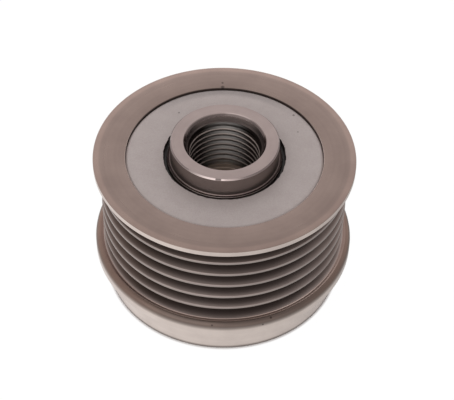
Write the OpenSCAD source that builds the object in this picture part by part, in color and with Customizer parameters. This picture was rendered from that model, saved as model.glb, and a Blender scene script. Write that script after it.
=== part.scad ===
// One-way clutch pulley of an alternator: a ribbed-belt ring that drives a threaded hub one way
// and runs ahead of it the other way. Z is the axis, in millimetres. The ring stands on its front
// collar at z = 0 and the side that faces the alternator is up.

/* [Belt grooves] */
// Distance between neighbouring grooves
groove_pitch = 3.56; // [3:0.01:4.7]
// Number of grooves
groove_count = 6; // [5:1:8]
// Angle between the two flanks of a groove
groove_angle = 40; // [36:1:44]
// Radius at the tips of the ribs
rib_r = 27.12; // [26.5:0.01:32]
// Width of a rib tip, measured as if its edges were sharp
rib_w = 0.6; // [0.55:0.05:1]
// Rounding of the edges of a rib
rib_edge_r = 0.25; // [0.05:0.05:0.35]
// Rounding of the bottom of a groove
root_r = 0.5; // [0.2:0.05:0.6]

/* [Pulley ring] */
// Thickness of the ring, from the tips of the ribs in to the seat of the bearings
ring_wall = 6.12; // [5.6:0.01:9]
// Thickness of the front collar round the front recess; the ring stands on it
collar_wall = 4.95; // [2:0.05:7]
// Height of the front collar, up to the front rim
collar_h = 7.8; // [6:0.1:10]
// Bevel at the foot of the collar
collar_bevel = 0.35; // [0.1:0.05:1]
// Height of the front rim above the ribs, along the radius
front_rim_out = 1.91; // [1:0.01:3]
// Thickness of the front rim
front_rim_h = 3.38; // [2:0.01:5]
// Rounding of the upper edge of the front rim
front_rim_round = 1.3; // [0.3:0.1:1.6]
// Distance from the front rim to the middle of the lowest groove
first_groove_gap = 1.58; // [1.5:0.01:3]
// Height of the rear rim above the ribs, along the radius
rear_rim_out = 1.48; // [1:0.01:3]
// Height of the straight part of the rear rim
rear_rim_h = 1.21; // [0.8:0.01:1.4]
// Distance from the middle of the last groove to the rear face of the ring
last_groove_gap = 3.49; // [3.3:0.01:6]
// Width of the lip that stops the front bearing
stop_lip_w = 1.4; // [0.5:0.1:1.5]
// Thickness of the lip that stops the front bearing
stop_lip_t = 1; // [0.6:0.1:2]
// Bevel of the sharp edges of the ring
edge_bevel = 0.12; // [0.02:0.01:0.25]

/* [Seal discs] */
// Step from the bearing seat in the ring out to the recess of a disc
recess_step = 0.6; // [0.3:0.05:1]
// Depth of the top of the rear disc below the rear face of the ring
rear_disc_sink = 0.3; // [0:0.05:0.6]
// Height of the front disc above the foot of the ring
front_disc_sink = 0.9; // [0.2:0.1:1.2]
// Thickness of the sheet of a disc
disc_t = 1; // [0.5:0.1:1.2]
// Rounding of the outer shoulder of a disc
disc_shoulder = 0.8; // [0.2:0.1:1]
// Width of the pressed rim of a disc
disc_rim_w = 0.9; // [0.4:0.1:1.2]
// Height of the pressed rim of the rear disc, below the sheet
rear_disc_rim_h = 0.85; // [0.8:0.05:3]
// Height of the pressed rim of the front disc, beyond the sheet
front_disc_rim_h = 1; // [0.8:0.05:3]
// Gap between the rear disc and the bearing seat of the hub
disc_hole_gap = 0.75; // [0.4:0.05:1.5]
// Width of the rubber bonded under a disc, as a share of the flat between hole and rim
lip_share = 0.4; // [0.2:0.05:0.8]
// Thickness of the rubber that is bonded under a disc
lip_t = 0.55; // [0.3:0.05:0.6]

/* [Hub] */
// Height of the rear face of the hub above the ring
hub_out = 4.05; // [2:0.05:8]
// Step from the bearing seat in to the neck of the hub
neck_step = 0.65; // [0.2:0.05:1]
// Depth of the foot of the neck below the top of the rear disc
neck_sink = 0.3; // [0.1:0.05:0.6]
// Bevel round the rear face of the hub
neck_bevel = 0.3; // [0.1:0.05:0.6]
// Step from the thread out to the smooth pilot bore
pilot_step = 0.5; // [0.2:0.05:1]
// Depth of the pilot bore
pilot_depth = 1.9; // [1.2:0.1:4]
// Bevel at the mouth of the pilot bore
pilot_bevel = 0.6; // [0.2:0.05:1]
// Outer diameter of the thread in the hub
thread_d = 16; // [14.5:0.1:16.4]
// Depth of the end of the thread below the rear face
thread_depth = 14.9; // [10:0.1:20]
// Step from the thread in to the passage between the thread and the tool socket
passage_step = 1.1; // [0.9:0.1:3]
// Height of the front collar of the hub above the bearing seat, along the radius
hub_flange_out = 1.5; // [0.8:0.1:1.8]
// Height of the front end of the hub above the foot of the ring
hub_sink = 1.2; // [0.5:0.1:1.6]
// Bevels of the hub's front end and of the passage
hub_bevel = 0.4; // [0.1:0.05:0.6]
// Number of teeth in the tool socket
socket_teeth = 33; // [18:1:36]
// Step from the passage out to the tips of the socket teeth
socket_step = 1; // [0.2:0.1:1.6]
// Height of a socket tooth
socket_tooth_h = 0.6; // [0.3:0.05:1]
// Depth of the plain lead-in of the tool socket
socket_lead = 1; // [0.5:0.1:3]
// Depth of the tool socket
socket_depth = 13.8; // [8:0.1:18]

/* [Ball bearings] */
// Bore of a bearing
bearing_bore = 25; // [24:0.5:26]
// Width of a bearing
bearing_w = 9; // [8:0.5:10]
// Bevel of the corners of a bearing
bearing_bevel = 0.35; // [0.1:0.05:0.6]
// Diameter of a ball, as a share of the smaller side of the bearing's section
ball_share = 0.56; // [0.45:0.01:0.6]
// Number of balls in a bearing
ball_count = 13; // [8:1:15]
// Radius of a raceway, as a share of the ball's diameter
raceway_share = 0.52; // [0.51:0.005:0.54]
// Thickness of the cage of a bearing along the radius, as a share of the ball's diameter
cage_share = 0.32; // [0.2:0.01:0.4]
// Thickness of a bearing seal
seal_t = 0.55; // [0.3:0.05:0.7]
// Depth of a seal below the side of the bearing
seal_inset = 0.25; // [0.05:0.05:0.4]

/* [One-way clutch] */
// Number of rollers
roller_count = 14; // [9:1:15]
// Diameter of a roller, as a share of the space between the ring and the hub
roller_share = 0.38; // [0.32:0.01:0.4]
// Wall of the hardened sleeve that the rollers lock against, as a share of the same space
sleeve_share = 0.28; // [0.2:0.01:0.33]
// Slope of a ramp on the cam ring
ramp_slope = 4; // [2:0.5:5]
// Play of a roller towards the shallow end of its ramp
roller_play = 0.7; // [0.4:0.05:1]
// Width of a bar of the clutch cage
bar_w = 0.9; // [0.6:0.05:1.1]
// Thickness of an end ring of the clutch cage
cage_end_t = 0.6; // [0.4:0.05:1]
// Thickness of a leaf spring
spring_t = 0.15; // [0.1:0.01:0.2]
// Number of leaves in a spring
spring_leaves = 4; // [2:2:4]

/* [Fits] */
// Gap of a press fit, on the radius
press_gap = 0.01; // [0.005:0.005:0.03]
// Gap between a rolling piece and its track
rolling_gap = 0.05; // [0.02:0.01:0.1]
// Gap between a seal lip and the surface that it runs on
lip_gap = 0.05; // [0.02:0.01:0.1]
// Gap beside pieces that move a little, such as a cage
side_gap = 0.2; // [0.1:0.05:0.3]

/* [Hidden] */
$fn = 96;

// Heights along the ring, from its foot up
front_recess_h = front_disc_sink + disc_t + front_disc_rim_h;
rear_recess_h = rear_disc_sink + disc_t + rear_disc_rim_h;
front_rim_top = collar_h + front_rim_h;
first_groove_z = front_rim_top + first_groove_gap;
last_groove_z = first_groove_z + (groove_count - 1) * groove_pitch;
ring_h = last_groove_z + last_groove_gap;
front_bearing_low = front_recess_h + stop_lip_t;
rear_bearing_top = ring_h - rear_recess_h;
front_bearing_z = front_bearing_low + bearing_w / 2;
rear_bearing_z = rear_bearing_top - bearing_w / 2;
clutch_w = rear_bearing_top - front_bearing_low - 2 * bearing_w;
clutch_low = front_bearing_low + bearing_w;
clutch_z = clutch_low + clutch_w / 2;
disc_top = ring_h - rear_disc_sink;
neck_z = disc_top - neck_sink;
hub_top = ring_h + hub_out;

// Radii of the ring and of what it holds
flank = groove_angle / 2;
groove_half = (groove_pitch - rib_w) / 2;
groove_apex_r = rib_r - groove_half / tan(flank);
groove_root_r = groove_apex_r + root_r / sin(flank);
front_rim_r = rib_r + front_rim_out;
rear_rim_r = rib_r + rear_rim_out;
housing_r = rib_r - ring_wall;
recess_r = housing_r + recess_step;
collar_r = recess_r + collar_wall;
stop_lip_r = housing_r - stop_lip_w;
disc_r = recess_r - press_gap;
disc_rim_r = disc_r - disc_rim_w;

// Radii of the hub
seat_r = bearing_bore / 2;
neck_r = seat_r - neck_step;
hub_flange_r = seat_r + hub_flange_out;
rear_disc_hole_r = seat_r + disc_hole_gap;
front_disc_hole_r = hub_flange_r + disc_hole_gap;
thread_r = thread_d / 2;
pilot_r = thread_r + pilot_step;
passage_r = thread_r - passage_step;
socket_r = passage_r + socket_step;

// Tracks of a ball bearing
section_h = housing_r - seat_r;
ball_d = ball_share * min(section_h, bearing_w);
cage_t = cage_share * ball_d;
ball_pitch_r = (seat_r + housing_r) / 2;
raceway_r = raceway_share * ball_d;
outer_raceway_r = ball_pitch_r + ball_d / 2 + rolling_gap - raceway_r;
inner_raceway_r = ball_pitch_r - ball_d / 2 - rolling_gap + raceway_r;
outer_land_r = ball_pitch_r + ball_d / 3;
inner_land_r = ball_pitch_r - ball_d / 3;
seal_seat_r = (outer_land_r + housing_r) / 2 - seal_t / 2;
seal_z = bearing_w / 2 - seal_inset - seal_t / 2;

// Tracks of the clutch
sleeve_r = housing_r - sleeve_share * section_h;
roller_r = roller_share * section_h / 2;
roller_pitch_r = sleeve_r - rolling_gap - roller_r;
roller_step = 360 / roller_count;
ramp_distance = roller_pitch_r * cos(ramp_slope) - roller_r - rolling_gap;
cage_in_r = ramp_distance / cos(roller_step / 2 + ramp_slope) + side_gap;
cage_out_r = sleeve_r - side_gap;
bar_in_r = cage_in_r + side_gap / 2;
bar_out_r = cage_out_r - side_gap / 2;
bar_offset = roller_r + roller_play + bar_w / 2;
bar_angle = -asin(bar_offset / roller_pitch_r);

// Folded springs, in the space between a roller and the next bar
spring_gap = 0.15;
spring_space = 2 * PI * roller_pitch_r / roller_count - roller_r - bar_offset - bar_w / 2;
spring_l = spring_space - 2 * spring_gap;
spring_angle = asin((roller_r + spring_space / 2) / roller_pitch_r);

// Points along an arc, from angle a to angle b, in the half plane of radius and height
function arc(r, z, round_r, a, b, steps) =
    [for (i = [0:steps])
        let (t = a + (b - a) * i / steps)
        [r + round_r * cos(t), z + round_r * sin(t)]];

// Distance from a groove's middle to the centre of a rib's rounded edge
rib_edge_offset = groove_half + rib_edge_r * tan((90 - flank) / 2);

// Rounded edge of the rib below a groove, and of the rib above it
function rib_edge_below(z) = arc(rib_r - rib_edge_r, z - rib_edge_offset, rib_edge_r, 0, 90 - flank, 3);
function rib_edge_above(z) = arc(rib_r - rib_edge_r, z + rib_edge_offset, rib_edge_r, flank - 90, 0, 3);

// Rounded bottom of a groove
function groove_root(z) = arc(groove_root_r, z, root_r, 270 - flank, 90 + flank, 6);

// The grooves from the front rim to the rear rim, whose flanks take the place of a rib's edge
function groove_line() =
    [for (i = [0:groove_count - 1])
        let (z = first_groove_z + i * groove_pitch)
        for (point = concat(
            i > 0 ? rib_edge_below(z) : [],
            groove_root(z),
            i < groove_count - 1 ? rib_edge_above(z) : []))
        point];

// Radius where the flank of the lowest groove reaches the face of the front rim
function front_flank_r() = groove_apex_r + first_groove_gap / tan(flank);

// Height of the upper flank of the last groove at a radius
function rear_flank_z(r) = last_groove_z + (r - groove_apex_r) * tan(flank);

// The grooved ring, turned from one bar, with a seat for the bearings and a recess at each end
module pulley_ring() {
    rim_low = ring_h - rear_rim_h;
    rim_corner = rim_low - rear_flank_z(rear_rim_r);
    color([0.60, 0.54, 0.51])
    rotate_extrude()
    polygon(concat(
        [[recess_r + edge_bevel, 0], [collar_r - collar_bevel, 0], [collar_r, collar_bevel],
         [collar_r, collar_h], [front_rim_r - edge_bevel, collar_h],
         [front_rim_r, collar_h + edge_bevel]],
        arc(front_rim_r - front_rim_round, front_rim_top - front_rim_round, front_rim_round, 0, 90, 6),
        [[front_flank_r(), front_rim_top]],
        groove_line(),
        [[rear_rim_r - rim_corner, rear_flank_z(rear_rim_r - rim_corner)], [rear_rim_r, rim_low],
         [rear_rim_r, ring_h - edge_bevel], [rear_rim_r - edge_bevel, ring_h],
         [recess_r + edge_bevel, ring_h], [recess_r, ring_h - edge_bevel],
         [recess_r, rear_bearing_top], [housing_r, rear_bearing_top],
         [housing_r, front_bearing_low], [stop_lip_r, front_bearing_low],
         [stop_lip_r, front_recess_h], [recess_r, front_recess_h], [recess_r, edge_bevel]]
    ));
}

// Outline of the tool socket, a ring of pointed teeth
module socket_outline() {
    tooth = 360 / socket_teeth;
    polygon([for (i = [0:socket_teeth - 1], side = [0, 1])
        let (r = socket_r + side * socket_tooth_h)
        let (a = (i + side / 2) * tooth)
        [r * cos(a), r * sin(a)]]);
}

// The hub: a neck and a bearing seat outside, and a pilot, thread, passage and tool socket inside
module hub() {
    thread_end = hub_top - thread_depth;
    lead_r = socket_r + socket_tooth_h + edge_bevel;
    color([0.65, 0.58, 0.56])
    difference() {
        rotate_extrude()
        polygon([
            [passage_r, hub_sink], [passage_r, thread_end - hub_bevel],
            [passage_r + hub_bevel, thread_end], [thread_r, thread_end],
            [thread_r, hub_top - pilot_depth - (pilot_r - thread_r)],
            [pilot_r, hub_top - pilot_depth], [pilot_r, hub_top - pilot_bevel],
            [pilot_r + pilot_bevel, hub_top], [neck_r - neck_bevel, hub_top],
            [neck_r, hub_top - neck_bevel], [neck_r, neck_z], [seat_r - edge_bevel, neck_z],
            [seat_r, neck_z - edge_bevel], [seat_r, front_bearing_low],
            [hub_flange_r, front_bearing_low], [hub_flange_r, hub_sink + hub_bevel],
            [hub_flange_r - hub_bevel, hub_sink]
        ]);
        translate([0, 0, hub_sink - 1])
        linear_extrude(socket_depth + 1)
        socket_outline();
        translate([0, 0, hub_sink - 1])
        cylinder(h = socket_lead + 1, r = lead_r);
    }
}

// Section of a pressed seal disc that lies flat at height 0, with its rim below
module disc_section(hole_r, rim_foot) {
    polygon(concat(
        [[hole_r, -disc_t], [hole_r, -edge_bevel], [hole_r + edge_bevel, 0]],
        arc(disc_r - disc_shoulder, -disc_shoulder, disc_shoulder, 90, 0, 6),
        [[disc_r, -rim_foot], [disc_rim_r, -rim_foot], [disc_rim_r, -disc_t]]
    ));
}

// Section of a rubber lip that is bonded to the underside of a disc and points at the hub
module lip_section(hole_r, run_r) {
    tip_r = run_r + lip_gap;
    lip_root_r = hole_r + lip_share * (disc_rim_r - hole_r);
    skin = lip_t / 5;
    polygon([
        [lip_root_r, 0], [hole_r, 0], [hole_r - skin, -skin], [tip_r + skin, -skin],
        [tip_r, -lip_t / 2], [tip_r + 2 * skin, -lip_t], [lip_root_r, -lip_t + skin]
    ]);
}

// Grey disc that closes the rear end between the ring and the hub
module rear_seal_disc() {
    color([0.64, 0.60, 0.58])
    translate([0, 0, disc_top])
    rotate_extrude()
    disc_section(rear_disc_hole_r, disc_t + rear_disc_rim_h);
}

// Rubber lip under the rear disc, running on the bearing seat of the hub
module rear_seal_lip() {
    color([0.10, 0.10, 0.10])
    translate([0, 0, disc_top - disc_t])
    rotate_extrude()
    lip_section(rear_disc_hole_r, seat_r);
}

// Disc that closes the front end, pressed in from below
module front_seal_disc() {
    color([0.64, 0.60, 0.58])
    translate([0, 0, front_disc_sink])
    mirror([0, 0, 1])
    rotate_extrude()
    disc_section(front_disc_hole_r, disc_t + front_disc_rim_h);
}

// Rubber lip inside the front disc, running on the front collar of the hub
module front_seal_lip() {
    color([0.10, 0.10, 0.10])
    translate([0, 0, front_disc_sink + disc_t])
    mirror([0, 0, 1])
    rotate_extrude()
    lip_section(front_disc_hole_r, hub_flange_r);
}

// The ring-shaped track that the balls roll in
module raceway(r) {
    rotate_extrude()
    translate([r, 0])
    circle(r = raceway_r);
}

// Outer ring of a ball bearing, with a raceway and a seat for each seal
module bearing_outer_ring() {
    half_w = bearing_w / 2;
    seat_z = seal_z - seal_t / 2;
    outer_r = housing_r - press_gap;
    color([0.72, 0.72, 0.73])
    difference() {
        rotate_extrude()
        polygon([
            [outer_land_r, -seat_z], [seal_seat_r, -seat_z], [seal_seat_r, -half_w],
            [outer_r - bearing_bevel, -half_w], [outer_r, bearing_bevel - half_w],
            [outer_r, half_w - bearing_bevel], [outer_r - bearing_bevel, half_w],
            [seal_seat_r, half_w], [seal_seat_r, seat_z], [outer_land_r, seat_z]
        ]);
        raceway(outer_raceway_r);
    }
}

// Inner ring of a ball bearing, with its raceway
module bearing_inner_ring() {
    half_w = bearing_w / 2;
    bore_r = seat_r + press_gap;
    color([0.72, 0.72, 0.73])
    difference() {
        rotate_extrude()
        polygon([
            [bore_r, bearing_bevel - half_w], [bore_r + bearing_bevel, -half_w],
            [inner_land_r, -half_w], [inner_land_r, half_w],
            [bore_r + bearing_bevel, half_w], [bore_r, half_w - bearing_bevel]
        ]);
        raceway(inner_raceway_r);
    }
}

// A copy of a shape for each ball of a bearing
module at_balls() {
    for (i = [0:ball_count - 1])
        rotate([0, 0, i * 360 / ball_count])
        translate([ball_pitch_r, 0, 0])
        children();
}

// The balls of a bearing
module bearing_balls() {
    color([0.80, 0.80, 0.82])
    at_balls() sphere(d = ball_d);
}

// Moulded crown cage: a ring with a pocket for each ball, open on the side away from the seal
module bearing_cage() {
    pocket_d = ball_d + side_gap;
    low = seal_z - seal_t / 2 - 3 * side_gap;
    high = ball_d / 4;
    color([0.86, 0.80, 0.62])
    difference() {
        rotate_extrude()
        translate([ball_pitch_r - cage_t / 2, -low])
        square([cage_t, low + high]);
        at_balls() sphere(d = pocket_d);
    }
}

// Seal of a bearing, held by the outer ring and thinned where it meets the inner ring
module bearing_seal() {
    half_t = seal_t / 2;
    tip_r = inner_land_r + lip_gap;
    outer_r = seal_seat_r - press_gap;
    color([0.12, 0.12, 0.12])
    rotate_extrude()
    polygon([
        [tip_r, -half_t / 2], [tip_r + seal_t, -half_t], [outer_r, -half_t],
        [outer_r, half_t], [tip_r + seal_t, half_t], [tip_r, half_t / 2]
    ]);
}

module rear_bearing_outer_ring() {
    translate([0, 0, rear_bearing_z]) bearing_outer_ring();
}

module rear_bearing_inner_ring() {
    translate([0, 0, rear_bearing_z]) bearing_inner_ring();
}

module rear_bearing_balls() {
    translate([0, 0, rear_bearing_z]) bearing_balls();
}

module rear_bearing_cage() {
    translate([0, 0, rear_bearing_z]) bearing_cage();
}

module rear_bearing_outboard_seal() {
    translate([0, 0, rear_bearing_z + seal_z]) bearing_seal();
}

module rear_bearing_inboard_seal() {
    translate([0, 0, rear_bearing_z - seal_z]) bearing_seal();
}

module front_bearing_outer_ring() {
    translate([0, 0, front_bearing_z]) bearing_outer_ring();
}

module front_bearing_inner_ring() {
    translate([0, 0, front_bearing_z]) bearing_inner_ring();
}

module front_bearing_balls() {
    translate([0, 0, front_bearing_z]) bearing_balls();
}

module front_bearing_cage() {
    translate([0, 0, front_bearing_z]) mirror([0, 0, 1]) bearing_cage();
}

module front_bearing_outboard_seal() {
    translate([0, 0, front_bearing_z - seal_z]) bearing_seal();
}

module front_bearing_inboard_seal() {
    translate([0, 0, front_bearing_z + seal_z]) bearing_seal();
}

// Hardened sleeve pressed into the ring, on whose inside the rollers lock
module clutch_sleeve() {
    color([0.58, 0.58, 0.60])
    translate([0, 0, clutch_low])
    difference() {
        cylinder(h = clutch_w, r = housing_r - press_gap);
        translate([0, 0, -1])
        cylinder(h = clutch_w + 2, r = sleeve_r);
    }
}

// Corners of the cam ring beside one roller, as an angle from the roller and a radius
cam_corners = [
    [-roller_step / 2, ramp_distance / cos(roller_step / 2 + ramp_slope)],
    [ramp_slope, ramp_distance],
    [roller_step / 2, ramp_distance * cos(roller_step / 2 - ramp_slope)]
];

// Cam ring pressed on the hub, with a sloping ramp and a spring pocket for each roller
module clutch_cam_ring() {
    color([0.62, 0.62, 0.64])
    translate([0, 0, clutch_low])
    difference() {
        linear_extrude(clutch_w)
        polygon([for (i = [0:roller_count - 1], corner = cam_corners)
            let (a = i * roller_step + corner[0])
            [corner[1] * cos(a), corner[1] * sin(a)]]);
        translate([0, 0, -1])
        cylinder(h = clutch_w + 2, r = seat_r + press_gap);
    }
}

// The moulded cage of the clutch is a little lower than the clutch, and its windows hold the rollers
clutch_cage_h = clutch_w - 2 * side_gap;
window_h = clutch_cage_h - 2 * cage_end_t;

// The rollers that wedge between the ramps and the sleeve
module clutch_rollers() {
    roller_l = window_h - 2 * side_gap;
    color([0.80, 0.80, 0.82])
    for (i = [0:roller_count - 1])
        rotate([0, 0, i * roller_step])
        translate([roller_pitch_r, 0, clutch_z - roller_l / 2])
        cylinder(h = roller_l, r = roller_r);
}

// Cage of the clutch: two end rings joined by a bar beside each roller
module clutch_cage() {
    color([0.20, 0.20, 0.22])
    translate([0, 0, clutch_z - clutch_cage_h / 2]) {
        for (z = [0, clutch_cage_h - cage_end_t])
            translate([0, 0, z])
            difference() {
                cylinder(h = cage_end_t, r = cage_out_r);
                translate([0, 0, -1])
                cylinder(h = cage_end_t + 2, r = cage_in_r);
            }
        for (i = [0:roller_count - 1])
            rotate([0, 0, i * roller_step + bar_angle])
            translate([bar_in_r, -bar_w / 2, 0])
            cube([bar_out_r - bar_in_r, bar_w, clutch_cage_h]);
    }
}

// Folded leaf springs that push each roller up its ramp
module clutch_springs() {
    leaf_pitch = spring_l / spring_leaves;
    fold_w = spring_t / 2 / sin(atan(leaf_pitch / (bar_out_r - bar_in_r)));
    spring_h = window_h * 0.75;
    folds = [for (k = [0:spring_leaves])
        [k % 2 == 0 ? bar_in_r + fold_w : bar_out_r - fold_w, k * leaf_pitch - spring_l / 2]];
    color([0.70, 0.70, 0.66])
    for (i = [0:roller_count - 1])
        rotate([0, 0, i * roller_step + spring_angle])
        translate([0, 0, clutch_z - spring_h / 2])
        linear_extrude(spring_h)
        polygon(concat(
            [for (k = [0:spring_leaves]) folds[k] + [fold_w, 0]],
            [for (k = [spring_leaves:-1:0]) folds[k] - [fold_w, 0]]
        ));
}

pulley_ring();
hub();
rear_seal_disc();
rear_seal_lip();
front_seal_disc();
front_seal_lip();
rear_bearing_outer_ring();
rear_bearing_inner_ring();
rear_bearing_balls();
rear_bearing_cage();
rear_bearing_outboard_seal();
rear_bearing_inboard_seal();
front_bearing_outer_ring();
front_bearing_inner_ring();
front_bearing_balls();
front_bearing_cage();
front_bearing_outboard_seal();
front_bearing_inboard_seal();
clutch_sleeve();
clutch_cam_ring();
clutch_rollers();
clutch_cage();
clutch_springs();
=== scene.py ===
import math

import bmesh
import bpy
from mathutils import Matrix, Vector


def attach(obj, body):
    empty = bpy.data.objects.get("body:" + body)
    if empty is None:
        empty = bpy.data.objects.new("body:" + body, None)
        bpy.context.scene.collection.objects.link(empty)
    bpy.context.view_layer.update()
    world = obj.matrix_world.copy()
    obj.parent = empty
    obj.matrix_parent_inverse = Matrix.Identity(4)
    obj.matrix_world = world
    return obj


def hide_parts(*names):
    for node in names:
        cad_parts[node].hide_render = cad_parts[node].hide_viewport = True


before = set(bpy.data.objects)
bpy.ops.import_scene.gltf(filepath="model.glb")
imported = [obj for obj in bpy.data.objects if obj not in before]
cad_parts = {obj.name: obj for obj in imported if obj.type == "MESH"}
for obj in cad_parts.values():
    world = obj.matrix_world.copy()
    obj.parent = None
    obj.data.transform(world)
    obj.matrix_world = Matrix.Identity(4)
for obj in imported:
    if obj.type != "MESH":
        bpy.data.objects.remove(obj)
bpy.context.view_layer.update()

# Lengths in this script are millimetres until they are turned into metres by MM
MM = 0.001

# The photograph's camera, fitted to the circles of the object
CAMERA_AT = (0.0, -224.0, 253.1)
CAMERA_PITCH = 46.19
CAMERA_YAW = -0.216
CAMERA_ROLL = 1.293
FOCAL_PIXELS = 1442.5
PHOTO_WIDTH = 454
HALF_PIXEL = 0.5
SENSOR_WIDTH = 36.0
CLIP = (0.01, 10.0)

# Belt grooves
GROOVE_PITCH = 3.56
GROOVE_COUNT = 6
FLANK = math.radians(20)
RIB_R = 27.12
RIB_W = 0.6
RIB_EDGE_R = 0.22
ROOT_R = 0.5
GROOVE_HALF = (GROOVE_PITCH - RIB_W) / 2
APEX_R = RIB_R - GROOVE_HALF / math.tan(FLANK)

# Pulley ring
COLLAR_R = 26.55
COLLAR_H = 7.8
COLLAR_BEVEL = 0.35
FRONT_RIM_R = 29.03
FRONT_RIM_TOP = 11.18
FRONT_RIM_ROUND = 1.3
FIRST_GROOVE_Z = 12.76
LAST_GROOVE_Z = FIRST_GROOVE_Z + (GROOVE_COUNT - 1) * GROOVE_PITCH
RING_H = 34.05
REAR_RIM_R = 28.6
REAR_RIM_H = 1.21
HOUSING_R = 21.0
RECESS_R = 21.6
REAR_RECESS_Z = 31.9
FRONT_RECESS_H = 2.9
STOP_LIP_R = 19.6
STOP_LIP_TOP = 3.9
EDGE = 0.1

# Seal discs
DISC_TOP = 33.75
DISC_T = 1.0
DISC_R = 21.59
DISC_SHOULDER = 0.8
DISC_RIM_W = 0.9
DISC_HOLE_R = 13.25
FRONT_DISC_Z = 0.9
FRONT_DISC_HOLE_R = 14.75

# Hub: its thread is drawn shallower than a real one of its size, as the photo shows it; THREAD_FLAT is half
# of the flat on a crest or a root, as a share of the pitch; BEVEL_SOFT softens the corners of the bevel
HUB_TOP = 38.1
NECK_R = 11.85
NECK_Z = 33.45
NECK_BEVEL = 0.3
BEVEL_SOFT = (0.02, 0.03)
SEAT_R = 12.5
FLANGE_R = 14.0
HUB_FOOT = 1.2
HUB_BEVEL = 0.4
PILOT_R = 8.5
PILOT_DEPTH = 1.9
PILOT_BEVEL = 0.6
MOUTH_W = 0.47
THREAD_R = 8.0
THREAD_MINOR_R = 7.58
THREAD_PITCH = 1.5
THREAD_END = 23.2
THREAD_FLAT = 1 / 16
PASSAGE_R = 6.9
TEETH = 33
TOOTH_TIP_R = 7.9
TOOTH_H = 0.6
SOCKET_LEAD_R = 8.62
SOCKET_LEAD_TOP = 2.2
SOCKET_END = 15.0

# Studio: its tint; how bright it is low down and straight above; how that changes to the back, to the
# right and to both sides
STUDIO_TINT = (1.0, 0.93, 0.92, 1)
STUDIO_LOW = 1.55
STUDIO_LOW_Z = 0.35
STUDIO_TOP = 0.75
STUDIO_TO_BACK = 0.2
STUDIO_TO_RIGHT = -0.13
STUDIO_SIDES = -0.7

# Lamp: power in watts, azimuth and elevation in degrees, distance and width
KEY_POWER = 0.9
KEY_AT = (-38, 40)
KEY_DISTANCE = 700
KEY_SIZE = 800

# Floor: how bright it is for the camera; how bright metal sees it in front of the object, and behind it near
# and far, where near is dimmer as a painted shade of the object; how much less it sees to the right
FLOOR_HALF = 3000
FLOOR_WHITE = 1.02
FLOOR_FRONT = 1.0
FLOOR_BACK_NEAR = 0.45
FLOOR_BACK_FAR = 0.85
FLOOR_NEAR_R = 28.0
FLOOR_FAR_R = 55.0
FLOOR_SIDE = 0.2

# Paper, which keeps a shadow: its colour, its share of the floor, of the floor's strip at the object's foot
# and of what the hub's hole shows of it
PAPER = (0.9, 0.9, 0.9, 1)
FLOOR_PAPER = 0.04
FOOT_PAPER = 0.85
FOOT_W = 0.5
HOLE_PAPER = 0.4

# Where the painted light and shade of the left and right sides begin, as x / radius, and how far that leans
# to the left on the front rim and in the grooves
SIDES_FROM = 0.35
RIM_SHIFT = 0.12
GROOVE_SHIFT = 0.22

# Ring: steel of its rims and collar, and painted shade at the foot of the collar
RIM_STEEL = (0.60, 0.52, 0.475, 1)
RING_ROUGHNESS = 0.32
FOOT_SHADE_STEEL = (0.25, 0.215, 0.195, 1)
FOOT_DARK_Z = 1.1

# Ring: steel of its rear face, darkened as painted shade, and of the band at the edge of that, lighter as a
# painted sheen
SHADED_FACE_STEEL = (0.232, 0.186, 0.165, 1)
BAND_SHEEN_STEEL = (0.285, 0.224, 0.197, 1)
BAND_R = (26.9, 27.7)

# Ring: flat of the front flange, painted light in front and painted shade at the sides, and the rounding
# beside it, painted shade in front and at the sides, and where the rounding turns from dark to the steel of
# the rim
FLANGE_STEEL = (0.80, 0.66, 0.59, 1)
FLANGE_SIDES = (0.185, 0.130, 0.110, 1)
FLANGE_UNDER = 0.04
FLANGE_OVER = 0.06
ROUND_STEEL = (0.145, 0.115, 0.10, 1)
ROUND_SIDES = (0.195, 0.14, 0.115, 1)
ROUND_Z = (10.5, 9.2)
ROUND_POWER = 1.6

# Ring: painted shade deep in a groove, in front and at the sides, the steel on the crest of a rib, and how
# steeply the one turns into the other in front and at the sides
GROOVE_STEEL = (0.125, 0.103, 0.095, 1)
GROOVE_SIDES = (0.084, 0.063, 0.053, 1)
CREST_STEEL = (0.32, 0.275, 0.255, 1)
CREST_POWER = (4.0, 8.0)
GROOVE_DARK_R = 24.9

# Ring: wall of the recess, painted light in front and painted shade behind, from which to which y / radius
# it changes, and the margin between the wall and the edge of its colour's zone
RECESS_LIT_FRONT = (0.80, 0.70, 0.65, 1)
RECESS_SHADE_STEEL = (0.20, 0.165, 0.15, 1)
RECESS_TURN = (-0.2, 0.7)
RECESS_MARGIN = 0.05

# Hub: margins between the edge of a surface and the edge of its colour's zone
MARGIN = 0.02
MOUTH_MARGIN = 0.01
LEDGE_MARGIN = 0.05
BORE_MARGIN = 0.1

# Hub: rear face; bevel at its edge with a painted glint in front and painted shade at its sides; bare steel
# of a nick in it, and its azimuth in degrees
HUB_STEEL = (0.30, 0.257, 0.245, 1)
HUB_ROUGHNESS = 0.33
BEVEL_STEEL = (0.29, 0.25, 0.24, 1)
BEVEL_SHADED_SIDES = (0.19, 0.16, 0.155, 1)
BEVEL_ROUGHNESS = 0.16
BEVEL_GLINT = (0.60, 0.52, 0.50, 1)
GLINT_AT = -1.0
GLINT_HALF = (2.0, 6.0)
NICK_STEEL = (0.16, 0.135, 0.13, 1)
NICK_AT = -6.0
NICK_HALF = 3.0

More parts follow.
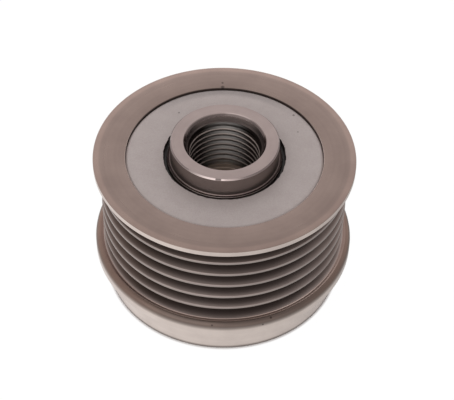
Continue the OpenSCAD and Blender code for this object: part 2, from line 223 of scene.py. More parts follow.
# Hub: neck, with painted light at its foot in the gap, the ledge there in front and in painted shade at the
# sides, painted shade in the gap beyond the ledge, and how the neck's steep edges are dulled
NECK_STEEL = (0.32, 0.27, 0.25, 1)
NECK_EDGE = (0.35, 0.35, 0.35, 1)
NECK_FOOT_LIGHT = (0.50, 0.42, 0.39, 1)
GAP_SEEN = 1.9
LEDGE_STEEL = (0.25, 0.21, 0.20, 1)
LEDGE_SHADED_SIDES = (0.07, 0.057, 0.053, 1)
LEDGE_R = 12.12
# Dark colour of specks of dirt, and of painted shade in the gaps at the hub's ledge and the disc's hole
DIRT_AND_GAP_SHADE = (0.02, 0.015, 0.014, 1)

# Hub: bevel of the mouth, in painted shade further down at the back, and how its steep edges are dulled
MOUTH_STEEL = (0.33, 0.285, 0.27, 1)
MOUTH_SHADE = (0.12, 0.10, 0.095, 1)
MOUTH_BRIGHT = (0.05, 0.3)
MOUTH_ROUGHNESS = 0.2
MOUTH_EDGE = (0.08, 0.08, 0.08, 1)

# Hub: pilot from top to foot, darkening down it as painted shade, and the painted shade at its sides
PILOT_STEEL = (0.50, 0.43, 0.40, 1)
PILOT_FOOT = (0.26, 0.23, 0.22, 1)
PILOT_SIDE_SHADE = (0.07, 0.058, 0.054, 1)
PILOT_SIDE_SHADE_FROM = 0.6
BORE_ROUGHNESS = 0.6

# Hub: painted highlights on the crests of the thread and how high they are, its flanks, its roots in painted
# light, how much of the roots shows at the top and painted shade there, painted shade at its sides, and the
# passage in painted light
THREAD_CREST_HIGHLIGHT = (0.44, 0.39, 0.36, 1)
CREST_HIGHLIGHT_H = 0.1
FLANK_OF_THREAD = (0.40, 0.39, 0.37, 1)
ROOT_OF_THREAD = (0.60, 0.59, 0.57, 1)
ROOTS_AT_TOP = 0.4
THREAD_TOP_SHADE = (0.55, 0.55, 0.55, 1)
THREAD_SIDE_SHADE = (0.075, 0.06, 0.056, 1)
THREAD_SIDE_SHADE_FROM = 0.05
THREAD_SIDE_SHADE_TO = 0.72
PASSAGE_STEEL = (0.55, 0.45, 0.38, 1)

# Discs: the two tones of their coat on a screen, what the painted shadow of the recess multiplies its edge's
# colour by at the back, and the dark ring round the hole, part dirt and part painted shade of the gap
COAT_LIGHT = (163, 157, 155)
COAT_DARK = (153, 146, 144)
COAT_METALLIC = 0.2
COAT_ROUGHNESS = (0.5, 0.62)
DISC_EDGE_SHADOW = (0.74, 0.745, 0.75, 1)
DISC_EDGE_SHADOW_R = (18.8, 20.3)
DISC_EDGE_SHADOW_TURN = (0.6, 1.0)
HOLE_DIRT_SHADE_LEAST = 0.02
HOLE_DIRT_SHADE_W = 0.25
COAT_SHINE = 0.5
HOLE_DIRT_SHADE_SHINE = 0.1

# Pieces inside: steels of bearings, balls and springs; the two tones of rubber and cages on a screen
BEARING_STEEL = (0.60, 0.60, 0.61, 1)
BEARING_ROUGHNESS = 0.22
BALL_STEEL = (0.70, 0.70, 0.72, 1)
BALL_ROUGHNESS = 0.10
SPRING_STEEL = (0.55, 0.54, 0.50, 1)
SPRING_ROUGHNESS = 0.28
RUBBER = ((22, 21, 21), (38, 36, 35))
RUBBER_ROUGHNESS = (0.5, 0.65)
BEARING_CAGE = ((214, 200, 160), (196, 180, 140))
CLUTCH_CAGE = ((46, 46, 48), (34, 34, 36))
CAGE_ROUGHNESS = (0.36, 0.48)

# Noise of the materials, in cycles a metre, the usual span of its values, that of its softer kinds and that
# of the disc's ragged hole, and the depth of marks
STEEL_MARKS = 9000.0
STEEL_BANDS = 1000.0
STEEL_BLOTCHES = 170.0
COAT_GRAIN = 5200.0
COAT_CLOUDS = 240.0
RAGGED_EDGE = 700.0
RUBBER_GRAIN = 3000.0
CAGE_GRAIN = 1400.0
NOISE_SPAN = (0.3, 0.7)
CLOUD_SPAN = (0.35, 0.65)
RAGGED_SPAN = (0.35, 0.75)
STEEL_DEPTH = 0.004
COAT_DEPTH = 0.006
SOFT_DEPTH = 0.01

# What the darker patches of turned steel multiply its colour by, how much of that blotches and bands bring,
# and how marks and blotches change its roughness
STEEL_PATCH = (0.82, 0.81, 0.82, 1)
BLOTCH_TONE = (0.0, 0.55)
BAND_TONE = (-0.1, 0.25)
MARK_SWING = (-0.04, 0.05)
BLOTCH_SWING = (-0.03, 0.03)

# How much of the coat's darker tone clouds and grain bring
CLOUD_TONE = (0.0, 0.5)
GRAIN_TONE = (-0.35, 0.7)

# Specks of dirt in the photo: azimuth from the camera's side to the right, radius, height and size
SPECK_DEPTH = 0.62
DISC_SPECKS = (
    (131, 20.2, 33.75, 0.35),
    (-142, 16.9, 33.75, 0.3),
    (116, 17.9, 33.75, 0.25),
)
RING_SPECKS = (
    (-178, 23.3, 34.05, 0.35),
    (-178, 21.9, 34.05, 0.55),
    (-6, 26.2, 17.8, 0.45),
    (-4, 28.7, 10.6, 0.3),
    (22, 28.5, 10.9, 0.35),
    (18, 29.0, 9.9, 0.3),
)

# Steps round a full turn, rows of the thread a turn, the angle above which an edge stays sharp, and how
# near points are that become one
RING_STEPS = 360
HUB_STEPS = TEETH * 8
THREAD_ROWS = 16
SHARP = math.radians(32)
WELD = 0.0002


def soften(corners, steps=4):
    """The outline through corners (r, z, rounding), each rounded by an arc that touches both sides."""
    points = []
    count = len(corners)
    for i, (r, z, rounding) in enumerate(corners):
        here = Vector((r, z))
        to_last = Vector(corners[i - 1][:2]) - here
        to_next = Vector(corners[(i + 1) % count][:2]) - here
        if rounding <= 0:
            points.append(here)
            continue
        half = to_last.angle(to_next) / 2
        reach = rounding / math.tan(half)
        inward = (to_last.normalized() + to_next.normalized()).normalized()
        centre = here + inward * rounding / math.sin(half)
        start = here + to_last.normalized() * reach - centre
        end = here + to_next.normalized() * reach - centre
        turn = start.angle_signed(end)
        for k in range(steps + 1):
            a = -turn * k / steps
            points.append(centre + Vector((start.x * math.cos(a) - start.y * math.sin(a),
                                           start.x * math.sin(a) + start.y * math.cos(a))))
    return [(p.x, p.y) for p in points]


def at(value, angle):
    """A value that may depend on the angle."""
    return value(angle) if callable(value) else value


def revolve(name, outline, steps, seam=None):
    """A closed mesh swept round Z from an outline of (radius, z), both numbers or functions of the angle.

    The seam tells which row of the first column each row of the last one meets, where a thread climbs.
    """
    rows = len(outline)
    seam = seam or list(range(rows))
    verts = []
    for r, z in outline:
        for k in range(steps):
            a = 2 * math.pi * k / steps
            verts.append((at(r, a) * math.cos(a) * MM, at(r, a) * math.sin(a) * MM, at(z, a) * MM))
    faces = []
    for i in range(rows):
        j = (i + 1) % rows
        for k in range(steps - 1):
            faces.append((i * steps + k, i * steps + k + 1, j * steps + k + 1, j * steps + k))
        last = steps - 1
        faces.append((i * steps + last, seam[i] * steps, seam[j] * steps, j * steps + last))
    mesh = bpy.data.meshes.new(name)
    mesh.from_pydata(verts, [], faces)
    shape = bmesh.new()
    shape.from_mesh(mesh)
    bmesh.ops.remove_doubles(shape, verts=shape.verts, dist=WELD * MM)
    shape.to_mesh(mesh)
    shape.free()
    mesh.update()
    mesh.shade_smooth()
    mesh.set_sharp_from_angle(angle=SHARP)
    piece = bpy.data.objects.new(name, mesh)
    bpy.context.scene.collection.objects.link(piece)
    return piece


class Tree:
    """A short way to write nodes."""

    def __init__(self, tree):
        self.tree = tree

    def add(self, kind):
        return self.tree.nodes.new(kind)

    def link(self, a, b):
        self.tree.links.new(a, b)

    def feed(self, value, socket):
        if isinstance(value, (int, float, tuple)):
            socket.default_value = value
        else:
            self.link(value, socket)

    def math(self, operation, a, b=0.0, c=0.0):
        node = self.add("ShaderNodeMath")
        node.operation = operation
        for value, socket in zip((a, b, c), node.inputs):
            self.feed(value, socket)
        return node.outputs[0]

    def noise(self, vector, scale, detail, rough):
        node = self.add("ShaderNodeTexNoise")
        node.inputs["Scale"].default_value = scale
        node.inputs["Detail"].default_value = detail
        node.inputs["Roughness"].default_value = rough
        self.link(vector, node.inputs["Vector"])
        return node.outputs["Fac"]

    def split(self, vector):
        node = self.add("ShaderNodeSeparateXYZ")
        self.link(vector, node.inputs[0])
        return node.outputs

    def vector(self, x, y, z):
        node = self.add("ShaderNodeCombineXYZ")
        for value, socket in zip((x, y, z), node.inputs):
            self.feed(value, socket)
        return node.outputs[0]

    def remap(self, value, low, high, to_low, to_high, smooth=False):
        node = self.add("ShaderNodeMapRange")
        node.interpolation_type = "SMOOTHSTEP" if smooth else "LINEAR"
        self.feed(value, node.inputs["Value"])
        for key, number in (("From Min", low), ("From Max", high), ("To Min", to_low), ("To Max", to_high)):
            node.inputs[key].default_value = number
        return node.outputs["Result"]

    def spread(self, noise, to_low, to_high):
        """A noise, stretched so that its usual span runs from one value to the other."""
        return self.remap(noise, *NOISE_SPAN, to_low, to_high)

    def fade(self, value, start, end, smooth=True):
        """0 where a length is at the start and 1 where it is at the end, both in millimetres."""
        return self.remap(value, start * MM, end * MM, 0.0, 1.0, smooth)

    def above(self, value, limit):
        return self.math("GREATER_THAN", value, limit * MM)

    def below(self, value, limit):
        return self.math("LESS_THAN", value, limit * MM)

    def between(self, value, low, high):
        return self.both(self.above(value, low), self.below(value, high))

    def both(self, a, b):
        return self.math("MULTIPLY", a, b)

    def unless(self, mask):
        return self.math("SUBTRACT", 1.0, mask)

    def offset(self, value, centre):
        """How far a value is from a centre, on either side."""
        return self.math("ABSOLUTE", self.math("SUBTRACT", value, centre))

    def mix_value(self, factor, a, b):
        node = self.add("ShaderNodeMix")
        for value, key in ((factor, "Factor"), (a, "A"), (b, "B")):
            self.feed(value, node.inputs[key])
        return node.outputs["Result"]

    def mix(self, factor, a, b, blend="MIX"):
        node = self.add("ShaderNodeMix")
        node.data_type = "RGBA"
        node.blend_type = blend
        self.feed(factor, node.inputs["Factor"])
        self.feed(a, node.inputs["A"])
        self.feed(b, node.inputs["B"])
        return node.outputs["Result"]

    def bump(self, height, distance):
        node = self.add("ShaderNodeBump")
        node.inputs["Strength"].default_value = 1.0
        node.inputs["Distance"].default_value = distance * MM
        self.link(height, node.inputs["Height"])
        return node.outputs["Normal"]


class Nodes(Tree):
    """The nodes of a new material: place on the object, distance from the axis, and a colour in zones."""

    def __init__(self, name):
        self.material = bpy.data.materials.new(name)
        self.material.use_nodes = True
        super().__init__(self.material.node_tree)
        self.shader = self.tree.nodes["Principled BSDF"]
        self.place = self.add("ShaderNodeTexCoord").outputs["Object"]
        self.x, self.y, self.z = self.split(self.place)
        flat = self.vector(self.x, self.y, 0.0)
        length = self.add("ShaderNodeVectorMath")
        length.operation = "LENGTH"
        self.link(flat, length.inputs[0])
        self.radius = length.outputs["Value"]

    def side(self, shift=0.0):
        """0 at front and back of the object, 1 at its left and right, where light and shade are painted; a
        shift favours the left.
        """
        across = self.offset(self.math("DIVIDE", self.x, self.radius), shift)
        return self.remap(across, SIDES_FROM, 1.0, 0.0, 1.0, smooth=True)

    def behind(self, start, end):
        """0 where y / radius is at the start and 1 where it is at the end, nearer to the back."""
        return self.remap(self.math("DIVIDE", self.y, self.radius), start, end, 0.0, 1.0, smooth=True)

    def zone(self, mask, colour):
        """Take another colour where the mask is 1."""
        self.colour = self.mix(mask, self.colour, colour)

    def specks(self, specks):
        """Dark dots of dirt, each at (azimuth, radius, height) and with a size."""
        for azimuth, radius, height, size in specks:
            a = math.radians(azimuth)
            spot = self.add("ShaderNodeVectorMath")
            spot.operation = "DISTANCE"
            self.link(self.place, spot.inputs[0])
            centre = Vector((radius * math.sin(a), -radius * math.cos(a), height))
            spot.inputs[1].default_value = centre * MM
            near = self.fade(spot.outputs["Value"], size, size / 2)
            self.zone(self.both(near, SPECK_DEPTH), DIRT_AND_GAP_SHADE)


def rgb(r, g, b):
    """A linear colour from 0 to 255 values of a screen."""
    def linear(v):
        v /= 255
        return v / 12.92 if v <= 0.04045 else ((v + 0.055) / 1.055) ** 2.4
    return (linear(r), linear(g), linear(b), 1.0)


def turned_steel(name, colour, roughness):
    """Turned steel: fine marks that run round the axis, and faint blotches."""
    n = Nodes(name)
    lathe = n.vector(n.radius, n.z, 0.0)
    fine = n.noise(lathe, STEEL_MARKS, detail=3.0, rough=0.6)
    coarse = n.noise(lathe, STEEL_BANDS, detail=2.0, rough=0.5)
    blotch = n.noise(n.place, STEEL_BLOTCHES, detail=4.0, rough=0.55)
    tone = n.math("ADD", n.remap(blotch, *CLOUD_SPAN, *BLOTCH_TONE), n.spread(coarse, *BAND_TONE))
    n.tone = n.math("MINIMUM", n.math("MAXIMUM", tone, 0.0), 1.0)
    n.colour = colour
    rough = n.spread(fine, roughness + MARK_SWING[0], roughness + MARK_SWING[1])
    n.rough = n.math("ADD", rough, n.spread(blotch, *BLOTCH_SWING))
    n.shader.inputs["Metallic"].default_value = 1.0
    height = n.mix_value(0.5, fine, coarse)
    n.link(n.bump(height, STEEL_DEPTH), n.shader.inputs["Normal"])
    return n


def settle(n):
    """Send the zones' colour, patched by the tone, and the roughness of a steel to its shader."""
    n.link(n.mix(n.tone, n.colour, STEEL_PATCH, "MULTIPLY"), n.shader.inputs["Base Color"])
    n.link(n.rough, n.shader.inputs["Roughness"])
    return n


def paint_grooves(n):
    """Painted shade in the grooves, darkest deep in them, and brighter steel on the crests of the ribs."""
    side = n.side(GROOVE_SHIFT)
    out = n.fade(n.radius, GROOVE_DARK_R, RIB_R, smooth=False)
    out = n.math("POWER", out, n.mix_value(side, *CREST_POWER))
    groove = n.mix(out, n.mix(side, GROOVE_STEEL, GROOVE_SIDES), CREST_STEEL)
    n.zone(n.between(n.z, FRONT_RIM_TOP + FLANGE_OVER, RING_H - REAR_RIM_H), groove)


def paint_front_rim(n):
    """Flat of the flange, painted light in front and shade at the sides; painted shade on the rounding; rim
    and collar below.
    """
    side = n.side(RIM_SHIFT)
    down = n.math("POWER", n.fade(n.z, *ROUND_Z, smooth=False), ROUND_POWER)
    rounding = n.mix(down, n.mix(side, ROUND_STEEL, ROUND_SIDES), RIM_STEEL)
    n.zone(n.below(n.z, FRONT_RIM_TOP + FLANGE_OVER), rounding)
    flange = n.mix(side, FLANGE_STEEL, FLANGE_SIDES)
    n.zone(n.between(n.z, FRONT_RIM_TOP - FLANGE_UNDER, FRONT_RIM_TOP + FLANGE_OVER), flange)


def ring_material():
    """The ring's steel: bright on collar, rims and crests, darker on its faces and dark in the grooves, as
    painted shade.
    """
    n = turned_steel("ring_steel", RIM_STEEL, RING_ROUGHNESS)
    paint_grooves(n)
    paint_front_rim(n)
    # Rear face in painted shade, with a painted sheen on the band at its edge
    band = n.fade(n.radius, *BAND_R)
    n.zone(n.above(n.z, RING_H - EDGE), n.mix(band, SHADED_FACE_STEEL, BAND_SHEEN_STEEL))
    # Painted shade at the foot of the collar
    n.zone(n.fade(n.z, FOOT_DARK_Z, FOOT_DARK_Z / 2, smooth=False), FOOT_SHADE_STEEL)
    # Painted light on the recess wall in front and painted shade behind
    recess = n.mix(n.behind(*RECESS_TURN), RECESS_LIT_FRONT, RECESS_SHADE_STEEL)
    n.zone(n.below(n.radius, RECESS_R + RECESS_MARGIN), recess)
    n.specks(RING_SPECKS)
    return settle(n)


def thread_colour(n, side):
    """Thread lighter at its roots and further in, as painted light, with painted highlights on crests and
    painted shade at its sides.
    """
    depth = n.fade(n.radius, THREAD_MINOR_R, THREAD_R, smooth=False)
    further = n.fade(n.z, HUB_TOP - PILOT_DEPTH - THREAD_PITCH, THREAD_END, smooth=False)
    depth = n.both(depth, n.mix_value(further, ROOTS_AT_TOP, 1.0))
    depth = n.math("MAXIMUM", depth, n.above(n.z, HUB_TOP - PILOT_DEPTH - THREAD_PITCH / 2))
    thread = n.mix(depth, FLANK_OF_THREAD, ROOT_OF_THREAD)
    thread = n.mix(n.unless(further), thread, THREAD_TOP_SHADE, "MULTIPLY")
    side_shade = n.remap(side, THREAD_SIDE_SHADE_FROM, THREAD_SIDE_SHADE_TO, 0.0, 1.0, smooth=True)
    thread = n.mix(side_shade, thread, THREAD_SIDE_SHADE, "MULTIPLY")
    thread = n.mix(n.below(n.radius, THREAD_MINOR_R + CREST_HIGHLIGHT_H), thread, THREAD_CREST_HIGHLIGHT)
    return n.mix(n.below(n.z, THREAD_END + MARGIN), thread, PASSAGE_STEEL)


def bore_colour(n):
    """Smooth pilot, darkening down it and at its sides as painted shade, then thread."""
    side = n.math("DIVIDE", n.math("ABSOLUTE", n.x), n.radius)
    down = n.fade(n.z, HUB_TOP - PILOT_BEVEL, HUB_TOP - PILOT_DEPTH, smooth=False)
    pilot = n.mix(down, PILOT_STEEL, PILOT_FOOT)
    side_shade = n.remap(side, PILOT_SIDE_SHADE_FROM, 1.0, 0.0, 1.0, smooth=True)
    pilot = n.mix(side_shade, pilot, PILOT_SIDE_SHADE)
    return n.mix(n.above(n.z, HUB_TOP - PILOT_DEPTH - MARGIN), thread_colour(n, side), pilot)


def bevel_colour(n, side):
    """Bevel of the hub's rear face: a painted glint in front, painted shade at its sides and a nick of bare
    steel.
    """
    bevel = n.mix(n.both(side, n.below(n.y, 0.0)), BEVEL_STEEL, BEVEL_SHADED_SIDES)
    off_glint = n.fade(n.offset(n.x, GLINT_AT * MM), *GLINT_HALF)
    bevel = n.mix(off_glint, BEVEL_GLINT, bevel)
    turn = n.math("DEGREES", n.math("ARCTAN2", n.x, n.math("MULTIPLY", n.y, -1.0)))
    in_nick = n.math("LESS_THAN", n.offset(turn, NICK_AT), NICK_HALF)
    return n.mix(in_nick, bevel, NICK_STEEL)


def neck_colour(n, side, on_ledge):
    """Neck, with painted light at its foot in front, and the ledge there, in painted shade at its sides."""
    foot = n.fade(n.z, NECK_Z + GAP_SEEN, NECK_Z + GAP_SEEN / 2)
    neck = n.mix(n.both(foot, n.unless(side)), NECK_STEEL, NECK_FOOT_LIGHT)
    return n.mix(on_ledge, neck, n.mix(side, LEDGE_STEEL, LEDGE_SHADED_SIDES))


def hub_material():
    """The hub's steel: bright on its rear face, dark on its neck, and dark in its bore with painted
    highlights on its crests.
    """
    n = turned_steel("hub_steel", HUB_STEEL, HUB_ROUGHNESS)
    side = n.side()
    on_bevel = n.both(n.above(n.radius, NECK_R - NECK_BEVEL), n.above(n.z, HUB_TOP - NECK_BEVEL))
    outside = n.both(n.above(n.radius, NECK_R - MARGIN), n.below(n.z, HUB_TOP - NECK_BEVEL + MARGIN))
    on_ledge = n.both(n.above(n.radius, NECK_R + LEDGE_MARGIN), n.above(n.z, NECK_Z - MARGIN))
    in_mouth = n.below(n.radius, PILOT_R + MOUTH_W - MOUTH_MARGIN)
    in_bore = n.both(n.below(n.radius, PILOT_R + BORE_MARGIN), n.below(n.z, HUB_TOP - PILOT_BEVEL))
    n.zone(on_bevel, bevel_colour(n, side))
    n.zone(outside, neck_colour(n, side, on_ledge))
    # Painted shade in the gap beyond the ledge
    n.zone(n.both(on_ledge, n.above(n.radius, LEDGE_R)), DIRT_AND_GAP_SHADE)
    # Painted shade on the mouth's bevel further down at the back
    down = n.fade(n.z, HUB_TOP - MOUTH_BRIGHT[0], HUB_TOP - MOUTH_BRIGHT[1])
    n.zone(in_mouth, n.mix(n.both(down, n.above(n.y, 0.0)), MOUTH_STEEL, MOUTH_SHADE))
    n.zone(in_bore, bore_colour(n))
    n.rough = n.mix_value(on_bevel, n.rough, BEVEL_ROUGHNESS)
    n.rough = n.mix_value(in_mouth, n.rough, MOUTH_ROUGHNESS)
    n.rough = n.mix_value(in_bore, n.rough, BORE_ROUGHNESS)
    edge = n.mix(outside, (1, 1, 1, 1), NECK_EDGE)
    edge = n.mix(in_mouth, edge, MOUTH_EDGE)
    n.link(edge, n.shader.inputs["Specular Tint"])
    return settle(n)


def disc_material():
    """Matte grey coat on pressed steel: fine grain, clouds, painted shadow at the back of its edge and a
    ring of dirt and painted shade round the hole.
    """
    n = Nodes("disc_coat")
    grain = n.noise(n.place, COAT_GRAIN, detail=3.0, rough=0.6)
    cloud = n.noise(n.place, COAT_CLOUDS, detail=4.0, rough=0.6)
    tone = n.math("ADD", n.remap(cloud, *CLOUD_SPAN, *CLOUD_TONE), n.spread(grain, *GRAIN_TONE))
    n.colour = n.mix(tone, rgb(*COAT_LIGHT), rgb(*COAT_DARK))
    # Painted shadow of the recess wall on the disc's edge at the back
    recess_shadow = n.both(n.fade(n.radius, *DISC_EDGE_SHADOW_R), n.behind(*DISC_EDGE_SHADOW_TURN))
    n.colour = n.mix(recess_shadow, n.colour, DISC_EDGE_SHADOW, "MULTIPLY")
    # A ragged dark ring round the hole, part dirt and part painted shade of the gap at the hub
    ragged = n.noise(n.place, RAGGED_EDGE, detail=4.0, rough=0.7)
    ragged = n.remap(ragged, *RAGGED_SPAN, 0.0, HOLE_DIRT_SHADE_W * MM)
    dirt_and_shade = n.below(n.math("SUBTRACT", n.radius, ragged), DISC_HOLE_R + HOLE_DIRT_SHADE_LEAST)
    n.zone(dirt_and_shade, DIRT_AND_GAP_SHADE)
    n.link(n.mix_value(dirt_and_shade, COAT_SHINE, HOLE_DIRT_SHADE_SHINE), n.shader.inputs["Specular IOR Level"])
    n.specks(DISC_SPECKS)
    n.link(n.colour, n.shader.inputs["Base Color"])
    n.link(n.spread(grain, *COAT_ROUGHNESS), n.shader.inputs["Roughness"])
    n.shader.inputs["Metallic"].default_value = COAT_METALLIC
    n.link(n.bump(grain, COAT_DEPTH), n.shader.inputs["Normal"])
    return n


def soft_material(name, tones, grain_scale, grain_rough, roughness):
    """Rubber or moulded plastic: two tones, a roughness and faint bumps that follow one grain."""
    n = Nodes(name)
    grain = n.noise(n.place, grain_scale, detail=4.0, rough=grain_rough)
    n.link(n.mix(grain, rgb(*tones[0]), rgb(*tones[1])), n.shader.inputs["Base Color"])
    n.link(n.spread(grain, *roughness), n.shader.inputs["Roughness"])
    n.link(n.bump(grain, SOFT_DEPTH), n.shader.inputs["Normal"])
    return n


def groove_corners():
    """Corners of the grooves and of the ribs between them, from the front rim up."""
    corners = []
    for i in range(GROOVE_COUNT):
        z = FIRST_GROOVE_Z + i * GROOVE_PITCH
        if i > 0:
            corners.append((RIB_R, z - GROOVE_HALF, RIB_EDGE_R))
        corners.append((APEX_R, z, ROOT_R))
        if i < GROOVE_COUNT - 1:
            corners.append((RIB_R, z + GROOVE_HALF, RIB_EDGE_R))
    return corners


def flank_z(r, z):
    """Height of the upper flank of the groove at z, at a radius."""
    return z + (r - APEX_R) * math.tan(FLANK)


def make_ring():
    """The pulley ring, turned in one piece."""
    rim_low = RING_H - REAR_RIM_H
    corner = rim_low - flank_z(REAR_RIM_R, LAST_GROOVE_Z)
    front_flank_r = APEX_R + (FIRST_GROOVE_Z - FRONT_RIM_TOP) / math.tan(FLANK)
    outline = soften([
        (RECESS_R, 0, EDGE), (COLLAR_R, 0, COLLAR_BEVEL), (COLLAR_R, COLLAR_H, EDGE),
        (FRONT_RIM_R, COLLAR_H, EDGE), (FRONT_RIM_R, FRONT_RIM_TOP, FRONT_RIM_ROUND),
        (front_flank_r, FRONT_RIM_TOP, EDGE), *groove_corners(),
        (REAR_RIM_R - corner, flank_z(REAR_RIM_R - corner, LAST_GROOVE_Z), EDGE),
        (REAR_RIM_R, rim_low, EDGE), (REAR_RIM_R, RING_H, EDGE), (RECESS_R, RING_H, EDGE),
        (RECESS_R, REAR_RECESS_Z, 0), (HOUSING_R, REAR_RECESS_Z, 0), (HOUSING_R, STOP_LIP_TOP, 0),
        (STOP_LIP_R, STOP_LIP_TOP, 0), (STOP_LIP_R, FRONT_RECESS_H, 0), (RECESS_R, FRONT_RECESS_H, 0),
    ])
    return revolve("grooved_ring", outline, RING_STEPS)


def thread_rows(top):
    """Rows of the threaded wall that climb with the thread, from the top down, and their seam."""
    step = THREAD_PITCH / THREAD_ROWS
    count = round((top - THREAD_END) / step) + THREAD_ROWS

    def row(i):
        from_root = 0.5 - abs((-i / THREAD_ROWS) % 1.0 - 0.5)
        ridge = (from_root - THREAD_FLAT) / (0.5 - 2 * THREAD_FLAT)
        ridge = min(1.0, max(0.0, ridge))

        def height(a):
            return min(top, max(THREAD_END, top + THREAD_PITCH * a / (2 * math.pi) - i * step))

        def radius(a):
            fade = min(1.0, (top - height(a)) / THREAD_PITCH, (height(a) - THREAD_END) / THREAD_PITCH)
            return THREAD_R - (THREAD_R - THREAD_MINOR_R) * ridge * fade
        return radius, height
    return [row(i) for i in range(count + 1)], [max(i - THREAD_ROWS, 0) for i in range(count + 1)]


def tooth_radius(a):
    """Radius of the toothed socket at an angle."""
    share = (a * TEETH / (2 * math.pi)) % 1.0
    return TOOTH_TIP_R + TOOTH_H * (1 - abs(2 * share - 1))


def make_hub():
    """The hub, from its front flange over neck and mouth to thread, passage and toothed socket."""
    top = HUB_TOP - PILOT_DEPTH
    outside = soften([
        (SOCKET_LEAD_R, HUB_FOOT, EDGE), (FLANGE_R, HUB_FOOT, HUB_BEVEL), (FLANGE_R, STOP_LIP_TOP, EDGE),
        (SEAT_R, STOP_LIP_TOP, 0), (SEAT_R, NECK_Z, EDGE), (NECK_R, NECK_Z, EDGE),
        (NECK_R, HUB_TOP, 0),
    ], steps=3)[:-1]
    across, along = BEVEL_SOFT
    mouth = [
        (NECK_R, HUB_TOP - NECK_BEVEL), (NECK_R - across, HUB_TOP - NECK_BEVEL + along),
        (NECK_R - NECK_BEVEL + along, HUB_TOP - across), (NECK_R - NECK_BEVEL, HUB_TOP),
        (PILOT_R + MOUTH_W, HUB_TOP), (PILOT_R, HUB_TOP - PILOT_BEVEL), (PILOT_R, top),
    ]
    thread, thread_seam = thread_rows(top)
    inside = [
        (PASSAGE_R + EDGE, THREAD_END), (PASSAGE_R, THREAD_END - EDGE), (PASSAGE_R, SOCKET_END),
        (tooth_radius, SOCKET_END), (tooth_radius, SOCKET_LEAD_TOP), (SOCKET_LEAD_R, SOCKET_LEAD_TOP),
    ]
    first = len(outside + mouth)
    after = first + len(thread)
    seam = [*range(first), *(first + i for i in thread_seam), *range(after, after + len(inside))]
    return revolve("threaded_hub", outside + mouth + thread + inside, HUB_STEPS, seam)


def disc_outline(hole_r, top, foot, side):
    """Outline of a seal disc whose flat side is at top and whose rim reaches foot."""
    under = top - side * DISC_T
    return soften([
        (hole_r, top, EDGE), (DISC_R, top, DISC_SHOULDER), (DISC_R, foot, EDGE / 2),
        (DISC_R - DISC_RIM_W, foot, EDGE / 2), (DISC_R - DISC_RIM_W, under, EDGE), (hole_r, under, EDGE),
    ], steps=6)


def toward(azimuth, elevation):
    """Direction at an azimuth, 0 at the camera's side and growing to the right, and an elevation."""
    a, e = math.radians(azimuth), math.radians(elevation)
    return (math.sin(a) * math.cos(e), -math.cos(a) * math.cos(e), math.sin(e))


def make_camera():
    """The camera that took the photo."""
    data = bpy.data.cameras.new("camera")
    data.sensor_width = SENSOR_WIDTH
    data.lens = FOCAL_PIXELS / PHOTO_WIDTH * SENSOR_WIDTH
    data.shift_x = -HALF_PIXEL / PHOTO_WIDTH
    data.shift_y = HALF_PIXEL / PHOTO_WIDTH
    data.clip_start, data.clip_end = CLIP
    camera = bpy.data.objects.new("camera", data)
    turn = (Matrix.Rotation(math.radians(CAMERA_YAW), 4, "Z")
            @ Matrix.Rotation(math.radians(90 - CAMERA_PITCH), 4, "X")
            @ Matrix.Rotation(math.radians(CAMERA_ROLL), 4, "Z"))
    camera.matrix_world = Matrix.Translation(Vector(CAMERA_AT) * MM) @ turn
    bpy.context.scene.collection.objects.link(camera)
    bpy.context.scene.camera = camera


def make_floor():
    """A white floor that keeps a faint shadow of the object, and that metal sees as brightest in front."""
    mesh = bpy.data.meshes.new("floor")
    half = FLOOR_HALF * MM
    corners = [(-half, -half, 0), (half, -half, 0), (half, half, 0), (-half, half, 0)]
    mesh.from_pydata(corners, [], [(0, 1, 2, 3)])
    floor = bpy.data.objects.new("floor", mesh)
    bpy.context.scene.collection.objects.link(floor)
    mesh.materials.append(floor_material())


def floor_material():
    """Light of its own, at one strength for metal and at another for the rest, mixed with paper."""
    n = Nodes("floor_white")
    n.tree.nodes.remove(n.shader)
    off_axis = n.math("MAXIMUM", n.radius, MM)
    behind = n.math("DIVIDE", n.y, off_axis)
    right = n.math("DIVIDE", n.x, off_axis)
    # Behind the object, metal sees the floor dimmer near it than far away: painted shade of the object
    near = n.remap(behind, -1.0, 1.0, FLOOR_FRONT, FLOOR_BACK_NEAR, smooth=True)
    far = n.remap(behind, -1.0, 1.0, FLOOR_FRONT, FLOOR_BACK_FAR, smooth=True)
    for_metal = n.mix_value(n.fade(n.radius, FLOOR_NEAR_R, FLOOR_FAR_R, smooth=False), near, far)
    for_metal = n.math("MULTIPLY_ADD", right, -FLOOR_SIDE, for_metal)
    path = n.add("ShaderNodeLightPath")
    white = n.add("ShaderNodeEmission")
    n.link(n.mix_value(path.outputs["Is Glossy Ray"], FLOOR_WHITE, for_metal), white.inputs["Strength"])
    paper = n.add("ShaderNodeBsdfDiffuse")
    paper.inputs["Color"].default_value = PAPER
    share = n.remap(n.radius, COLLAR_R * MM, (COLLAR_R + FOOT_W) * MM, FOOT_PAPER, FLOOR_PAPER, smooth=True)
    share = n.mix_value(n.below(n.radius, SOCKET_LEAD_R), share, HOLE_PAPER)
    blend = n.add("ShaderNodeMixShader")
    n.link(share, blend.inputs["Fac"])
    n.link(white.outputs[0], blend.inputs[1])
    n.link(paper.outputs[0], blend.inputs[2])
    n.link(blend.outputs[0], n.tree.nodes["Material Output"].inputs["Surface"])
    return n.material


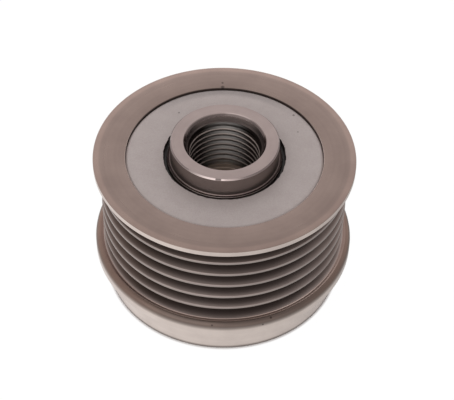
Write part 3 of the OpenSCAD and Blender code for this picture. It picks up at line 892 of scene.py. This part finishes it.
def make_key():
    """A weak soft lamp to the left of the camera, about as high as it is."""
    data = bpy.data.lights.new("key", "AREA")
    data.shape = "DISK"
    data.size = KEY_SIZE * MM
    data.energy = KEY_POWER
    back = Vector(toward(*KEY_AT))
    lamp = bpy.data.objects.new("key", data)
    lamp.location = (back * KEY_DISTANCE + Vector((0, 0, RING_H))) * MM
    lamp.rotation_mode = "QUATERNION"
    lamp.rotation_quaternion = (-back).to_track_quat("-Z", "Y")
    bpy.context.scene.collection.objects.link(lamp)


def make_world():
    """A warm white studio, brightest low down and at the back, and darker at both sides."""
    world = bpy.data.worlds.new("studio")
    bpy.context.scene.world = world
    world.use_nodes = True
    n = Tree(world.node_tree)
    x, y, z = n.split(n.add("ShaderNodeTexCoord").outputs["Generated"])
    level = n.remap(z, STUDIO_LOW_Z, 1.0, STUDIO_LOW, STUDIO_TOP)
    level = n.math("MULTIPLY_ADD", y, STUDIO_TO_BACK, level)
    level = n.math("MULTIPLY_ADD", x, STUDIO_TO_RIGHT, level)
    level = n.math("MULTIPLY_ADD", n.both(x, x), STUDIO_SIDES, level)
    background = n.tree.nodes["Background"]
    background.inputs["Color"].default_value = STUDIO_TINT
    n.link(level, background.inputs["Strength"])


def paint(piece, nodes):
    """Give a piece one material."""
    piece.data.materials.clear()
    piece.data.materials.append(nodes.material)


bpy.context.scene.view_settings.view_transform = "Standard"
make_world()
make_floor()
make_camera()
make_key()

ring_steel = ring_material()
hub_steel = hub_material()
disc_coat = disc_material()
bearing_steel = settle(turned_steel("bearing_steel", BEARING_STEEL, BEARING_ROUGHNESS))
ball_steel = settle(turned_steel("ball_steel", BALL_STEEL, BALL_ROUGHNESS))
spring_steel = settle(turned_steel("spring_steel", SPRING_STEEL, SPRING_ROUGHNESS))
seal_rubber = soft_material("seal_rubber", RUBBER, RUBBER_GRAIN, 0.6, RUBBER_ROUGHNESS)
cage_moulding = soft_material("cage_moulding", BEARING_CAGE, CAGE_GRAIN, 0.5, CAGE_ROUGHNESS)
clutch_moulding = soft_material("clutch_moulding", CLUTCH_CAGE, CAGE_GRAIN, 0.5, CAGE_ROUGHNESS)

ring = make_ring()
paint(ring, ring_steel)
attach(ring, "pulley")
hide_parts("pulley_ring")

hub = make_hub()
paint(hub, hub_steel)
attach(hub, "hub")
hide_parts("hub")

rear_outline = disc_outline(DISC_HOLE_R, DISC_TOP, REAR_RECESS_Z, 1)
rear_disc = revolve("rear_disc", rear_outline, RING_STEPS)
paint(rear_disc, disc_coat)
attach(rear_disc, "pulley")
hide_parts("rear_seal_disc")

front_outline = disc_outline(FRONT_DISC_HOLE_R, FRONT_DISC_Z, FRONT_RECESS_H, -1)
front_disc = revolve("front_disc", front_outline, RING_STEPS)
paint(front_disc, disc_coat)
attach(front_disc, "pulley")
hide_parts("front_seal_disc")

inner_materials = {
    "clutch_sleeve": bearing_steel,
    "clutch_cam_ring": bearing_steel,
    "clutch_rollers": ball_steel,
    "clutch_cage": clutch_moulding,
    "clutch_springs": spring_steel,
}
for end in ("rear", "front"):
    inner_materials[end + "_seal_lip"] = seal_rubber
    inner_materials[end + "_bearing_outer_ring"] = bearing_steel
    inner_materials[end + "_bearing_inner_ring"] = bearing_steel
    inner_materials[end + "_bearing_balls"] = ball_steel
    inner_materials[end + "_bearing_cage"] = cage_moulding
    inner_materials[end + "_bearing_outboard_seal"] = seal_rubber
    inner_materials[end + "_bearing_inboard_seal"] = seal_rubber
for node_name, nodes in inner_materials.items():
    paint(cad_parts[node_name], nodes)
